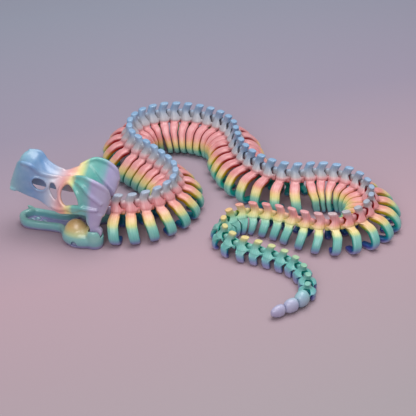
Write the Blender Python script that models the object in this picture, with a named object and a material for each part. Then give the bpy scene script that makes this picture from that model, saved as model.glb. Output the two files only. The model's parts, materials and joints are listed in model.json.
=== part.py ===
"""Jointed snake-skeleton toy, lying in the S-shaped pose of the photograph.

The toy is a chain of printed links. Each link is one vertebra: a crest on top, a wing and a
rib on either side that reaches the floor, a round knob towards the head and a C-shaped
socket towards the tail. The knob of every link sits in the socket of the link before it.
Here the chain is divided into lengths. The links of a length are fused at their knobs, and
the knobs between two lengths stay free, with their running clearance.

Frame: metres, +Z up, floor at z = 0, +X along the toy's longest side, +Y away from the viewer.
"""
import math

import bmesh
import bpy
from mathutils import Matrix, Vector

MM = 0.001

# ---------------------------------------------------------------- driving dimensions, in mm
PITCH = 10.0                 # from one knob to the next
LINK_COUNT = 70              # vertebrae from the neck to the tip of the tail
FRAME_SHIFT = (-0.86, 4.23)  # moves the pose so that the origin is under the toy's middle
FIRST_LINK = (-65.7, -35.5)  # middle of the first neck link, before the shift
FIRST_HEADING = -4.5         # degrees, the way the first link's tail end points

# The pose: how many joints in a row turn by the same angle (degrees, left is positive).
BENDS = (
    (4, 14.3), (4, 17.3),                 # neck bend
    (4, 2.8),                             # run along the left
    (3, -16.1), (3, -19.0), (3, -12.3),   # rear bend
    (3, -10.1), (3, -15.9),               # rear row, turning forward
    (3, 6.4), (3, 11.1), (3, 17.2),       # swing out to the right
    (3, -15.8), (3, -19.0), (6, -17.7),   # right-hand bend
    (2, -9.9), (3, 5.9),                  # front row
    (3, 31.0), (3, 27.6),                 # tail bend
    (3, -4.2), (3, -17.1), (3, -21.9), (1, 0.5),   # tail, curling forward
)

# Sizes that change along the body, as (link number, size).
HEIGHT = ((0, 33.0), (10, 35.0), (19, 38.0), (32, 35.0), (39, 32.0), (43, 30.0), (47, 27.0),
          (51, 24.5), (54, 22.0), (57, 19.3), (61, 16.5), (66, 13.0), (69, 9.0))
FOOT_OUT = ((0, 18.5), (10, 20.0), (19, 22.5), (43, 22.5), (47, 20.5), (49, 17.0),
            (51, 11.5), (54, 9.5), (58, 8.0), (62, 7.0), (66, 5.4), (69, 3.4))
BODY_TOP = ((0, 0.80), (44, 0.80), (54, 0.72), (60, 0.66), (69, 0.64))    # share of the height
CREST_HALF = ((0, 4.0), (44, 3.9), (57, 3.2), (69, 3.0))                  # half its length

# The lengths: name, first link, last link, colour.
LENGTHS = (
    ("neck", 0, 5, (0.86, 0.62, 0.58)), ("trunk_1", 6, 11, (0.74, 0.62, 0.70)),
    ("trunk_2", 12, 17, (0.60, 0.64, 0.78)), ("trunk_3", 18, 23, (0.50, 0.61, 0.80)),
    ("trunk_4", 24, 29, (0.55, 0.62, 0.78)), ("trunk_5", 30, 41, (0.84, 0.58, 0.56)),
    ("trunk_6", 42, 47, (0.88, 0.60, 0.52)), ("trunk_7", 48, 53, (0.90, 0.68, 0.48)),
    ("tail_1", 54, 58, (0.80, 0.76, 0.45)), ("tail_2", 59, 62, (0.45, 0.72, 0.60)),
    ("tail_3", 63, 66, (0.35, 0.68, 0.62)), ("tail_tip", 67, 69, (0.55, 0.66, 0.72)),
)

# Vertebra. Heights are shares of the link's own height; those of the joint are below BODY_TOP.
KNOB_R = 2.4
SOCKET_BORE_R = 2.9          # leaves 0.3 mm or more all round the faceted knob
BORE_SIDES = 10
SOCKET_R = 4.0
SOCKET_MOUTH = 60.0          # degrees to each side that the socket is open
NECK_HALF = 1.2              # half width of the neck that carries the knob
BAR_HALF = 2.0               # half width of the fused bar inside a length
BAR_LAP = 0.5                # how far the bar reaches into the bodies that it joins
BODY_DEPTH = 0.26
KNOB_DEPTH = (0.22, 0.05)    # bottom and top, below BODY_TOP
SOCKET_DEPTH = (0.245, 0.035)
BAR_DEPTH = (0.22, 0.09)
BORE_DEPTH = (0.32, 0.02)
BODY_X = (-1.6, 3.0)         # front and rear face of the body, from the link's middle
FREE_BODY_FRONT = -0.6       # front face where the joint in front is free
BODY_HALF_SHARE = 0.115
BODY_HALF_MIN = 2.8
CREST = ((-0.08, 0.42, 1.5), (1.0, 1.0, 1.9))
#        share of the crest's height, share of its half length, half width

BELLY = 1.10                 # the ribs bulge to this share of the foot's distance
RIB = ((0.62, 0.76, 0.9), (1.00, 0.42, 1.0))
#      share of the way out to the belly line, share of the body's top, share of the thickness
RIB_THICK = 4.6
RIB_THICK_TAIL = 3.0         # the least thickness, where the ribs are short stubs
RIB_HALF = 3.0               # half the rib's length along the chain
FOOT = (3.8, 2.4)            # thickness and half length of a rib at the floor
RIB_GAP = 0.35               # each rib stops this far short of the plane through its joint
RIB_HALF_LEAST = 0.9         # half the length that a rib keeps on the inside of a bend
SHOULDER_OUT = 0.3           # the rib's root stays this far outside the body
SHOULDER_DROP = 0.2          # and reaches this far below it

# The tail's tip: smooth barrels in place of vertebrae.
BARREL_SIDES = 8
BARREL_START = -0.4          # front end of the first, whose joint is free
BARREL_END = 5.6             # the other ends reach past the joints, so that they are one piece
BARREL_SHOULDER = (1.6, 2.4)        # from the front and the rear end to the full width
BARREL_WIDTHS = (0.72, 1.0, 0.90)   # at the front end and the two shoulders
BARREL_END_WIDTH = 0.62
TIP_END_WIDTH = 0.35
TIP_KNOB_Z = (0.42, 0.64)

# Skull, in its own tilted frame: s forward from the neck joint, v sideways, w upwards.
SKULL_YAW = 9.5              # degrees, turned away from the viewer
SKULL_PITCH = 22.0           # degrees, nose up
NECK_JOINT_Z = 22.0
WALL = 2.2
VALLEY = (0.45, 0.40)        # slope between ridge and middle: share of the ridge's v and rise
SKULL_COLOUR = (0.55, 0.68, 0.78)
# s, then (v, w) of the lower rim, side, upper side and ridge, then w of the middle
SKULL_SECTIONS = (
    (0.5, (16.5, 2.0), (17.5, 6.0), (15.5, 11.0), (13.0, 13.5), 5.5),
    (3.5, (18.5, 0.5), (19.0, 7.0), (17.5, 14.5), (14.0, 19.5), 5.5),
    (8.0, (19.5, -0.5), (20.0, 7.0), (18.5, 16.0), (15.0, 23.0), 7.0),
    (16.0, (19.0, -3.0), (19.5, 6.0), (18.5, 17.0), (15.5, 24.5), 10.0),
    (24.0, (17.5, -7.5), (18.0, 4.0), (17.0, 17.0), (13.5, 23.5), 12.5),
    (30.0, (16.5, -11.0), (16.0, -1.0), (13.0, 11.0), (9.0, 18.5), 12.5),
    (36.0, (15.0, -11.5), (14.0, -2.0), (11.0, 8.0), (6.0, 13.5), 11.0),
    (42.0, (12.5, -11.8), (12.0, -3.0), (9.5, 6.0), (5.0, 10.0), 8.0),
    (49.0, (10.0, -12.0), (10.5, -4.0), (10.0, 4.0), (7.5, 9.0), 6.5),
    (56.0, (9.0, -13.0), (10.0, -5.0), (10.5, 4.0), (9.0, 9.8), 8.2),
    (62.0, (8.5, -13.2), (9.8, -6.0), (10.8, 4.0), (10.0, 13.2), 11.0),
    (69.5, (7.2, -13.5), (8.6, -7.0), (9.6, 1.0), (8.6, 11.0), 9.5),
    (72.0, (4.5, -12.5), (5.6, -7.0), (6.4, 0.0), (5.6, 7.5), 6.5),
)
HOLLOW_FRONT = 67.0          # the inside of the skull ends here
HOLLOW_BACK = 14.0
BELOW_RIM = 10.0             # how far the inside is cut out below the lower rim
SKULL_DEPTH = 40.0           # how far the side openings are cut, clear of both walls
UNDER_CUT = (15.0, 12.6, 2.0)    # room for the neck under the rear: front s, half width, top w
CUT_FAR = 40.0               # past the skull, for cuts that run out of it
NECK_NOTCH = (3.6, 5.6)      # room for the first link's knob neck: front, half width, level
THROAT_NOTCH = (1.8, 12.9, 5.8)     # and for its shoulders: front, half width, top, level
NECK_RING_R = 4.6            # socket for the first link's knob
ORBIT = ((20.5, 5.0), (24.0, -0.5), (29.0, -2.0), (33.5, 1.0), (35.0, 7.0), (31.0, 12.5),
         (25.5, 12.0))
NOSTRIL = ((46.5, 3.0), (48.5, -1.5), (53.0, -2.5), (56.5, 1.5), (55.0, 5.5), (49.5, 6.5))
SLIT = ((36.5, -3.5), (42.5, -0.5), (44.5, 5.0), (41.5, 5.5), (38.0, 2.0))
LEG = ((8.0, -1.0, 15.0), (4.7, -7.0, 12.4), (0.8, -12.5, 8.4))   # s, w, length along s
LEG_SIDE = (15.6, 20.6)      # from the middle, inner and outer face of the legs
BRAINCASE = ((17.3, 6.2, -2.0, 9.4), (4.6, 4.7, -2.6, 5.3))         # s, half width, w low, w high

# Lower jaw, in a level frame: a forward from its hinge, v sideways, z up.
JAW_YAW = 14.6               # degrees, it lies turned a little further than the skull
JAW_HINGE = (5.6, 12.5)      # forward of the neck joint, height
JAW_BAR = ((-4.0, 12.5, 8.0, 3.4), (1.0, 18.0, 8.5, 3.6), (12.0, 22.0, 9.0, 4.0),
           (22.0, 17.5, 8.0, 4.0), (29.0, 8.6, 5.8, 3.2), (38.0, 7.8, 5.0, 3.0),
           (50.0, 8.3, 5.0, 3.0), (58.0, 6.5, 5.2, 3.2))         # a, v, top, thickness
JAW_TIP = (62.0, 5.6, 3.4)   # a, top, thickness
JAW_FLOOR = ((28.0, 8.0), (38.0, 7.4), (50.0, 7.9), (58.0, 6.0), (61.0, 1.5))    # a, half width
JAW_FLOOR_TOP = 1.6
DOME = (14.0, 16.0, 8.5, 6.5, 18.8)     # a, v, half length, half width, top
DOME_LEVELS = ((0.0, 0.86), (0.35, 1.0), (0.70, 0.86), (0.90, 0.54), (1.0, 0.18))
BULB = (12.0, 16.5, 13.0, 8.8, 10.5)    # the same, for the low swelling round each dome
CUP = (1.6, 18.1, 6.2, 4.9, 9.5)        # the same, for the seat of the skull's leg
BOSS_LEVELS = ((0.0, 0.86), (0.40, 1.0), (0.80, 0.95), (1.0, 0.80))
JAW_COLOUR = (0.42, 0.70, 0.66)
CUP_BORE_R = 5.2
CUP_BORE_SIDE = 0.7          # clearance of the leg in its cup, on either side


# ------------------------------------------------------------------------------ the chain
def along(table, link):
    """Size at a link, in a straight line between the table's entries."""
    for (a, size_a), (b, size_b) in zip(table, table[1:]):
        if link <= b:
            return size_a + (size_b - size_a) * (link - a) / (b - a)
    return table[-1][1]


def turns():
    """Angle of each joint in degrees, from the first to the last."""
    return [angle for count, angle in BENDS for _ in range(count)]


def chain():
    """Middle (x, y) in mm and heading in degrees of every link."""
    x = FIRST_LINK[0] + FRAME_SHIFT[0]
    y = FIRST_LINK[1] + FRAME_SHIFT[1]
    heading = FIRST_HEADING
    links = [(x, y, heading)]
    for turn in turns():
        for angle in (heading, heading + turn):
            x += PITCH / 2 * math.cos(math.radians(angle))
            y += PITCH / 2 * math.sin(math.radians(angle))
        heading += turn
        links.append((x, y, heading))
    return links


def link_matrix(link):
    """Places a link that is modelled along +X, with its middle at the origin."""
    x, y, heading = link
    return Matrix.Translation((x, y, 0.0)) @ Matrix.Rotation(math.radians(heading), 4, "Z")


# ------------------------------------------------------------------------------ mesh tools
def loft(rings):
    """One closed shell through rings of equal point counts, with flat ends."""
    mesh = bmesh.new()
    loops = [[mesh.verts.new(point) for point in ring] for ring in rings]
    count = len(loops[0])
    for near, far in zip(loops, loops[1:]):
        for i in range(count):
            j = (i + 1) % count
            mesh.faces.new((near[i], near[j], far[j], far[i]))
    mesh.faces.new(list(reversed(loops[0])))
    mesh.faces.new(loops[-1])
    bmesh.ops.recalc_face_normals(mesh, faces=mesh.faces)
    return mesh


def box(low, high):
    """Axis-aligned block between two corners."""
    (x0, y0, z0), (x1, y1, z1) = low, high
    return loft([[(x, y0, z0), (x, y1, z0), (x, y1, z1), (x, y0, z1)] for x in (x0, x1)])


def disc(centre, radius, z0, z1, sides=8):
    """Upright prism with a regular outline."""
    cx, cy = centre
    outline = [(cx + radius * math.cos(math.tau * (i + 0.5) / sides),
                cy + radius * math.sin(math.tau * (i + 0.5) / sides)) for i in range(sides)]
    return loft([[(x, y, z) for x, y in outline] for z in (z0, z1)])


def moved(mesh, matrix):
    """The same shell, placed by a matrix."""
    bmesh.ops.transform(mesh, matrix=matrix, verts=mesh.verts)
    bmesh.ops.recalc_face_normals(mesh, faces=mesh.faces)
    return mesh


def scratch_object(mesh, name, collection):
    """A hidden helper object that holds one shell, in metres."""
    bmesh.ops.scale(mesh, vec=(MM, MM, MM), verts=mesh.verts)
    data = bpy.data.meshes.new(name)
    mesh.to_mesh(data)
    mesh.free()
    helper = bpy.data.objects.new(name, data)
    helper.hide_render = True
    helper.display_type = "WIRE"
    collection.objects.link(helper)
    return helper


def fused(shells, cuts=()):
    """One mesh: all shells united, then all cuts taken away."""
    scene = bpy.context.scene.collection
    groups = {}
    for operation, meshes in (("UNION", shells[1:]), ("DIFFERENCE", list(cuts))):
        group = bpy.data.collections.new(operation.lower())
        scene.children.link(group)
        for mesh in meshes:
            scratch_object(mesh, "helper", group)
        groups[operation] = group
    base = scratch_object(shells[0], "base", scene)
    for operation, group in groups.items():
        if len(group.objects):
            modifier = base.modifiers.new(operation, "BOOLEAN")
            modifier.operation = operation
            modifier.operand_type = "COLLECTION"
            modifier.collection = group
            modifier.solver = "EXACT"
    result = bpy.data.meshes.new_from_object(base.evaluated_get(bpy.context.evaluated_depsgraph_get()))
    for group in groups.values():
        for helper in list(group.objects):
            bpy.data.objects.remove(helper, do_unlink=True)
        bpy.data.collections.remove(group)
    bpy.data.objects.remove(base, do_unlink=True)
    return result


def plastic(name, colour):
    """Satin printed plastic."""
    material = bpy.data.materials.new(name)
    material.use_nodes = True
    shader = material.node_tree.nodes["Principled BSDF"]
    shader.inputs["Base Color"].default_value = (*colour, 1.0)
    shader.inputs["Roughness"].default_value = 0.35
    shader.inputs["Metallic"].default_value = 0.1
    return material


def finished(name, mesh, colour, pivot):
    """The named sub-part, with its origin on its joint."""
    mesh.name = name
    mesh.transform(Matrix.Translation(Vector(pivot) * -MM))
    mesh.materials.clear()
    mesh.materials.append(plastic(name + "_plastic", colour))
    mesh.shade_smooth()
    mesh.set_sharp_from_angle(angle=math.radians(40.0))
    part = bpy.data.objects.new(name, mesh)
    part.location = Vector(pivot) * MM
    bpy.context.scene.collection.objects.link(part)
    return part


# ------------------------------------------------------------------------------ one link
def rib_limits(side, out, front_turn, rear_turn):
    """Room along x for a rib at a distance out, between the planes through its two joints."""
    front = max(0.0, side * out * math.tan(math.radians(front_turn / 2)))
    rear = max(0.0, side * out * math.tan(math.radians(rear_turn / 2)))
    return RIB_GAP + front - PITCH / 2, PITCH / 2 - rear - RIB_GAP


def rib_rings(side, height, top, foot_out, front_turn, rear_turn):
    """Sections of the rib on one side, from its shoulder to its flat foot on the floor."""
    half = max(BODY_HALF_SHARE * height, BODY_HALF_MIN)
    thick = min(RIB_THICK, max(RIB_THICK_TAIL, RIB_THICK * foot_out / FOOT_OUT[0][1]))
    belly = BELLY * foot_out - thick / 2
    path = [(half + share * (belly - half), level * top * height, grow * thick, RIB_HALF)
            for share, level, grow in RIB]
    foot_thick = min(FOOT[0], thick)
    path.append((foot_out - foot_thick / 2, 0.0, foot_thick, FOOT[1]))
    closing = math.radians(max(side * front_turn, side * rear_turn, 1.0))
    farthest = (PITCH / 2 - RIB_GAP - RIB_HALF_LEAST) / math.tan(closing / 2)
    rings = []
    before = (half, top * height)
    for i, (out, z, rib_thick, reach) in enumerate(path):
        out = min(out, farthest - rib_thick / 2)
        after = path[min(i + 1, len(path) - 1)]
        run = Vector((after[0] - before[0], after[1] - before[1]))
        across = Vector((-run.y, run.x)).normalized() * rib_thick / 2
        if z == 0.0:
            across = Vector((rib_thick / 2, 0.0))
        low, high = rib_limits(side, out + rib_thick / 2, front_turn, rear_turn)
        x0, x1 = max(-reach, low), min(reach, high)
        inner_y, inner_z = out - across.x, z - across.y
        if i == 0:
            inner_y = max(inner_y, half + SHOULDER_OUT)
            inner_z = min(inner_z, (top - BODY_DEPTH) * height - SHOULDER_DROP)
        rings.append([(x0, side * (out + across.x), z + across.y),
                      (x1, side * (out + across.x), z + across.y),
                      (x1, side * inner_y, inner_z), (x0, side * inner_y, inner_z)])
        before = (out, z)
    return rings


def arch(height, top, foot_out, front_turn, rear_turn, front_x):
    """Body of a vertebra with its two ribs, as one band from foot to foot."""
    half = max(BODY_HALF_SHARE * height, BODY_HALF_MIN)
    low, high = (top - BODY_DEPTH) * height, top * height
    body = [[(front_x, y, high), (BODY_X[1], y, high), (BODY_X[1], y, low), (front_x, y, low)]
            for y in (-half, half)]
    right = rib_rings(-1, height, top, foot_out, front_turn, rear_turn)
    left = rib_rings(1, height, top, foot_out, front_turn, rear_turn)
    return loft(right[::-1] + body + left)


def crest(height, top, half_length):
    """Crest on top of a vertebra, flared towards its top."""
    rings = []
    for level, grow, half in CREST:
        z = height * (top + level * (1 - top))
        x = half_length * grow
        rings.append([(-x, -half, z), (x, -half, z), (x, half, z), (-x, half, z)])
    return loft(rings)


def knob(low, high):
    """Round knob on its neck, at the joint in front of a link."""
    return [box((-PITCH / 2, -NECK_HALF, low), (0.0, NECK_HALF, high)),
            disc((-PITCH / 2, 0.0), KNOB_R, low, high)]


def bar(low, high, turn):
    """Fused bar from one body into the next, which is turned by an angle in degrees."""
    joint, bend = Vector((PITCH / 2, 0.0)), Matrix.Rotation(math.radians(turn), 2)
    reach = PITCH / 2 + BODY_X[0] + BAR_LAP
    rings = []
    for y in (-BAR_HALF, BAR_HALF):
        end = joint + bend @ Vector((reach, y))
        rings.append([(BODY_X[1] - BAR_LAP, y, low), (end.x, end.y, low),
                      (end.x, end.y, high), (BODY_X[1] - BAR_LAP, y, high)])
    return loft(rings)


def joint_parts(height, top, has_knob, has_socket, turn):
    """Front and rear joint of a link: free where a length ends, else a fused bar."""
    knob_z, socket_z, bore_z, bar_z = ([height * (top - depth) for depth in depths]
                                       for depths in (KNOB_DEPTH, SOCKET_DEPTH, BORE_DEPTH, BAR_DEPTH))
    shells = knob(*knob_z) if has_knob else []
    if not has_socket:
        return [*shells, bar(*bar_z, turn)], []
    middle = (PITCH / 2, 0.0)
    shells.append(disc(middle, SOCKET_R, *socket_z))
    return shells, [disc(middle, SOCKET_BORE_R, *bore_z, BORE_SIDES),
                    socket_mouth(middle, 1.0, *bore_z)]


def socket_mouth(centre, direction, z0, z1):
    """Wedge that opens a socket towards +X (direction 1) or -X (direction -1)."""
    reach = SOCKET_R * 3
    cx, cy = centre
    wide = reach * math.sin(math.radians(SOCKET_MOUTH))
    deep = reach * math.cos(math.radians(SOCKET_MOUTH)) * direction
    outline = [(cx, cy), (cx + deep, cy - wide), (cx + reach * direction, cy - wide),
               (cx + reach * direction, cy + wide), (cx + deep, cy + wide)]
    return loft([[(x, y, z) for x, y in outline] for z in (z0, z1)])


def link_shells(number, links, first, last):
    """Shells and cuts of one link of a length, in place."""
    turn = [0.0] + turns() + [0.0]
    height, foot_out, top, half_length = (along(table, number) for table in
                                          (HEIGHT, FOOT_OUT, BODY_TOP, CREST_HALF))
    front_x = FREE_BODY_FRONT if number == first else BODY_X[0]
    shells, cuts = joint_parts(height, top, number == first, number == last, turn[number + 1])
    shells.append(arch(height, top, foot_out, turn[number], turn[number + 1], front_x))
    shells.append(crest(height, top, half_length))
    place = link_matrix(links[number])
    return [moved(shell, place) for shell in shells], [moved(cut, place) for cut in cuts]


# ------------------------------------------------------------------------------ the lengths
def build_length(name, first, last, colour, links):
    """Links first to last as one solid, with its origin at its front joint."""
    shells, cuts = [], []
    for number in range(first, last + 1):
        link_parts, link_cuts = link_shells(number, links, first, last)
        shells += link_parts
        cuts += link_cuts
    return finished(name, fused(shells, cuts), colour, front_joint(links[first]))


def front_joint(link):
    """Place on the floor under the joint in front of a link."""
    x, y, heading = link
    turn = math.radians(heading)
    return (x - PITCH / 2 * math.cos(turn), y - PITCH / 2 * math.sin(turn), 0.0)


def barrel(height, half_width, x0, x1, end_width=BARREL_END_WIDTH):
    """Smooth tapering tail segment, flat below."""
    rings = []
    stations = (x0, x0 + BARREL_SHOULDER[0], x1 - BARREL_SHOULDER[1], x1)
    for x, grow in zip(stations, (*BARREL_WIDTHS, end_width)):
        ring = []
        for step in range(BARREL_SIDES):
            angle = math.tau * (step + 0.5) / BARREL_SIDES
            level = max(1 + grow * math.sin(angle), 0.0)
            ring.append((x, half_width * grow * math.cos(angle), height / 2 * level))
        rings.append(ring)
    return loft(rings)


def build_tail_tip(name, first, last, colour, links):
    """Three smooth segments that end in a rounded tip."""
    shells = []
    for number in range(first, last + 1):
        height = along(HEIGHT, number)
        width = along(FOOT_OUT, number)
        if number == first:
            parts = [barrel(height, width, BARREL_START, BARREL_END)]
            parts += knob(*(height * level for level in TIP_KNOB_Z))
        else:
            end_width = TIP_END_WIDTH if number == last else BARREL_END_WIDTH
            parts = [barrel(height, width, -BARREL_END, BARREL_END, end_width)]
        shells += [moved(part, link_matrix(links[number])) for part in parts]
    return finished(name, fused(shells), colour, front_joint(links[first]))


# ------------------------------------------------------------------------------ head
def neck_joint(links):
    """The joint that carries the skull, in mm."""
    x, y, _ = front_joint(links[0])
    return Vector((x, y, NECK_JOINT_Z))


def skull_matrix(links, pitch=SKULL_PITCH):
    """Own frame of the skull: x forward, y to the viewer's side, z up."""
    yaw = math.radians(180.0 - SKULL_YAW)
    return (Matrix.Translation(neck_joint(links)) @ Matrix.Rotation(yaw, 4, "Z")
            @ Matrix.Rotation(-math.radians(pitch), 4, "Y"))


def skull_ring(section, inset):
    """Closed outline of one section, inset by a wall on all sides but below."""
    s, rim, side, upper, ridge, middle = section
    slope = (ridge[0] * VALLEY[0], middle + (ridge[1] - middle) * VALLEY[1])
    half = [(rim[0], rim[1]), side, upper, ridge, slope]
    if inset:
        half = [(rim[0] - inset, rim[1] - BELOW_RIM), (side[0] - inset, side[1]),
                (upper[0] - inset, upper[1] - inset / 2), (ridge[0] - inset / 2, ridge[1] - inset),
                (slope[0], slope[1] - inset)]
        middle -= inset
    points = half + [(0.0, middle)] + [(-v, w) for v, w in reversed(half)]
    return [(s, v, w) for v, w in points]


def side_cut(outline):
    """Opening through both side walls."""
    return loft([[(s, v, w) for s, w in outline] for v in (-SKULL_DEPTH, SKULL_DEPTH)])


def rear_cut(front, half_width, top):
    """Block that is open towards the neck and downwards."""
    return box((-CUT_FAR, -half_width, -CUT_FAR), (front, half_width, top))


def quadrate_leg(side):
    """Leg that carries the jaw's ball, as a tapering block with a rounded end."""
    rings = []
    for s, w, length in LEG:
        rings.append([(s - length / 2, side * LEG_SIDE[0], w), (s + length / 2, side * LEG_SIDE[0], w),
                      (s + length / 2, side * LEG_SIDE[1], w), (s - length / 2, side * LEG_SIDE[1], w)])
    return loft(rings)


def build_skull(links):
    """Hollow, open below, with its side openings, legs and the neck's socket."""
    place = skull_matrix(links)
    outer = loft([skull_ring(section, 0.0) for section in SKULL_SECTIONS])
    hollow_sections = [s for s in SKULL_SECTIONS if HOLLOW_BACK < s[0] < HOLLOW_FRONT]
    hollow = loft([skull_ring(section, WALL) for section in hollow_sections])
    braincase = loft([[(s, -half, low), (s, half, low), (s, half, high), (s, -half, high)]
                      for s, half, low, high in BRAINCASE])
    shells = [outer] + [quadrate_leg(side) for side in (-1, 1)]
    cuts = [hollow] + [side_cut(outline) for outline in (ORBIT, NOSTRIL, SLIT)]
    cuts.append(rear_cut(*UNDER_CUT))
    level = skull_matrix(links, pitch=0.0)
    notches = [rear_cut(*NECK_NOTCH, CUT_FAR), rear_cut(*THROAT_NOTCH)]
    cuts = [moved(cut, place) for cut in cuts] + [moved(notch, level) for notch in notches]
    shells = [moved(shell, place) for shell in shells]
    shell = fused(shells, cuts)
    body = bmesh.new()
    body.from_mesh(shell)
    bmesh.ops.scale(body, vec=(1 / MM,) * 3, verts=body.verts)
    socket_z = [HEIGHT[0][1] * (BODY_TOP[0][1] - depth) - NECK_JOINT_Z for depth in SOCKET_DEPTH]
    ring = moved(disc((0.0, 0.0), NECK_RING_R, *socket_z), level)
    bore = moved(disc((0.0, 0.0), SOCKET_BORE_R, -CUT_FAR, CUT_FAR, BORE_SIDES), level)
    mouth = moved(socket_mouth((0.0, 0.0), -1.0, -CUT_FAR, CUT_FAR), level)
    whole = fused([body, moved(braincase, place), ring], [bore, mouth])
    return finished("skull", whole, SKULL_COLOUR, neck_joint(links))


def jaw_bar():
    """Horseshoe wall from one rear end round the tip to the other."""
    tip = (JAW_TIP[0], 0.0, JAW_TIP[1], JAW_TIP[2])
    route = [*JAW_BAR, tip] + [(a, -v, top, thick) for a, v, top, thick in reversed(JAW_BAR)]
    rings = []
    for i, (a, v, top, thick) in enumerate(route):
        before, after = route[max(i - 1, 0)], route[min(i + 1, len(route) - 1)]
        run = Vector((after[0] - before[0], after[1] - before[1])).normalized() * thick / 2
        inner, outer = (a - run.y, v + run.x), (a + run.y, v - run.x)
        rings.append([(*inner, 0.0), (*outer, 0.0), (*outer, top), (*inner, top)])
    return loft(rings)


def jaw_floor():
    """Thin bottom between the walls of the jaw's front."""
    outline = list(JAW_FLOOR) + [(a, -half) for a, half in reversed(JAW_FLOOR)]
    return loft([[(a, v, z) for a, v in outline] for z in (0.0, JAW_FLOOR_TOP)])


def oval_column(a, v, half_a, half_v, top, levels, sides=8):
    """Rounded boss with a flat base."""
    rings = []
    for level, grow in levels:
        ring = []
        for step in range(sides):
            angle = math.tau * (step + 0.5) / sides
            ring.append((a + half_a * grow * math.cos(angle), v + half_v * grow * math.sin(angle),
                         level * top))
        rings.append(ring)
    return loft(rings)


def level_matrix(links, yaw):
    """Level frame at the floor under the jaw's hinge, x forward."""
    hinge = neck_joint(links)
    turn = math.radians(180.0 - SKULL_YAW)
    hinge += Vector((math.cos(turn), math.sin(turn), 0.0)) * JAW_HINGE[0]
    return (Matrix.Translation((hinge.x, hinge.y, 0.0))
            @ Matrix.Rotation(math.radians(180.0 - yaw), 4, "Z"))


def build_lower_jaw(links):
    """Shallow jaw with a dome and a leg's cup on each side, flat on the floor."""
    lying, square = level_matrix(links, JAW_YAW), level_matrix(links, SKULL_YAW)
    shells = [moved(jaw_bar(), lying), moved(jaw_floor(), lying)]
    cuts = []
    for side in (-1, 1):
        for boss, levels, place in ((DOME, DOME_LEVELS, lying), (BULB, BOSS_LEVELS, lying),
                                    (CUP, BOSS_LEVELS, square)):
            a, v, *sizes = boss
            shells.append(moved(oval_column(a, side * v, *sizes, levels), place))
        bore = disc((0.0, 0.0), CUP_BORE_R, LEG_SIDE[0] - CUP_BORE_SIDE, LEG_SIDE[1] + CUP_BORE_SIDE,
                    BORE_SIDES)
        on_axis = (Matrix.Translation((0.0, 0.0, JAW_HINGE[1]))
                   @ Matrix.Rotation(math.radians(-90.0 * side), 4, "X"))
        cuts.append(moved(bore, square @ on_axis))
    pivot = square @ Vector((0.0, 0.0, JAW_HINGE[1]))
    return finished("lower_jaw", fused(shells, cuts), JAW_COLOUR, pivot)


# ------------------------------------------------------------------------------ the whole toy
def build():
    for old in list(bpy.data.objects):
        bpy.data.objects.remove(old, do_unlink=True)
    links = chain()
    assert len(links) == LINK_COUNT
    build_skull(links)
    build_lower_jaw(links)
    for name, first, last, colour in LENGTHS:
        maker = build_tail_tip if name == "tail_tip" else build_length
        maker(name, first, last, colour, links)


build()
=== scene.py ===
import json
import math

import bmesh
import bpy
import numpy as np
from mathutils import Matrix, Vector


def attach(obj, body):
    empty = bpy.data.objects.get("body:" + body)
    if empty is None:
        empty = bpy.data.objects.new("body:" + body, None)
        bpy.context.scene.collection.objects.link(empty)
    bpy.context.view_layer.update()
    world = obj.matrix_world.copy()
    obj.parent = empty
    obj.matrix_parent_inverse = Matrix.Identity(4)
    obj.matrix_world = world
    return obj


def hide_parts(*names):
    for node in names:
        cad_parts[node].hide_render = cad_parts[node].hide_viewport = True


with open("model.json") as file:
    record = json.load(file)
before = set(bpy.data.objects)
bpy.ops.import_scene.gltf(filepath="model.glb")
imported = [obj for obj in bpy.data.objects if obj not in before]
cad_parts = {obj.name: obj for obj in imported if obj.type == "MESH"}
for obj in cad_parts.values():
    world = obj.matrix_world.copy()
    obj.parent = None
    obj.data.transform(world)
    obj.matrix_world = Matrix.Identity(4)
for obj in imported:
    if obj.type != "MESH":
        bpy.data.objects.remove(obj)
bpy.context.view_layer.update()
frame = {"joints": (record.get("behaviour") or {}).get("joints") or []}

MM = 0.001
JOINTS = {joint["name"]: joint for joint in frame["joints"]}

# ------------------------------------------------------------------ sizes of the chain, in mm
PITCH = 10.0
FIRST_HEADING = -4.5
# Runs of links: how many, and the turn before each, in degrees.
BENDS = (
    (4, 14.3), (4, 17.3), (4, 2.8), (3, -16.1), (3, -19.0), (3, -12.3), (3, -10.1), (3, -15.9),
    (3, 6.4), (3, 11.1), (3, 17.2), (3, -15.8), (3, -19.0), (6, -17.7), (2, -9.9), (3, 5.9),
    (3, 31.0), (3, 27.6), (3, -4.2), (3, -17.1), (3, -21.9), (1, 0.5),
)
# Tables of (link, value). Links are numbered from 0 behind the skull to 69 at the tail's end.
HEIGHT = ((0, 33.0), (10, 35.0), (19, 38.0), (32, 35.0), (39, 32.0), (43, 30.0), (47, 27.0),
          (51, 24.5), (54, 22.0), (57, 19.3), (61, 16.5), (66, 13.0), (69, 9.0))
FOOT_OUT = ((0, 18.5), (10, 20.0), (19, 22.0), (43, 21.5), (46, 17.0), (48, 15.0),
            (51, 11.5), (54, 9.5), (58, 8.0), (62, 7.0), (66, 5.4), (69, 3.4))
RIB_WIDE = ((0, 1.12), (43, 1.08), (48, 0.90), (54, 0.90), (69, 0.85))
BODY_TOP = ((0, 0.80), (44, 0.80), (54, 0.72), (60, 0.66), (69, 0.64))
CREST_HALF = ((0, 4.0), (44, 4.0), (57, 3.6), (66, 3.0), (69, 2.8))
LENGTHS = (("neck", 0, 5), ("trunk_1", 6, 11), ("trunk_2", 12, 17), ("trunk_3", 18, 23),
           ("trunk_4", 24, 29), ("trunk_5", 30, 41), ("trunk_6", 42, 47), ("trunk_7", 48, 53),
           ("tail_1", 54, 58), ("tail_2", 59, 62), ("tail_3", 63, 66), ("tail_tip", 67, 69))
BODY_DEPTH = 0.26                           # share of a link's height
BODY_HALF_SHARE = 0.115
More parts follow.
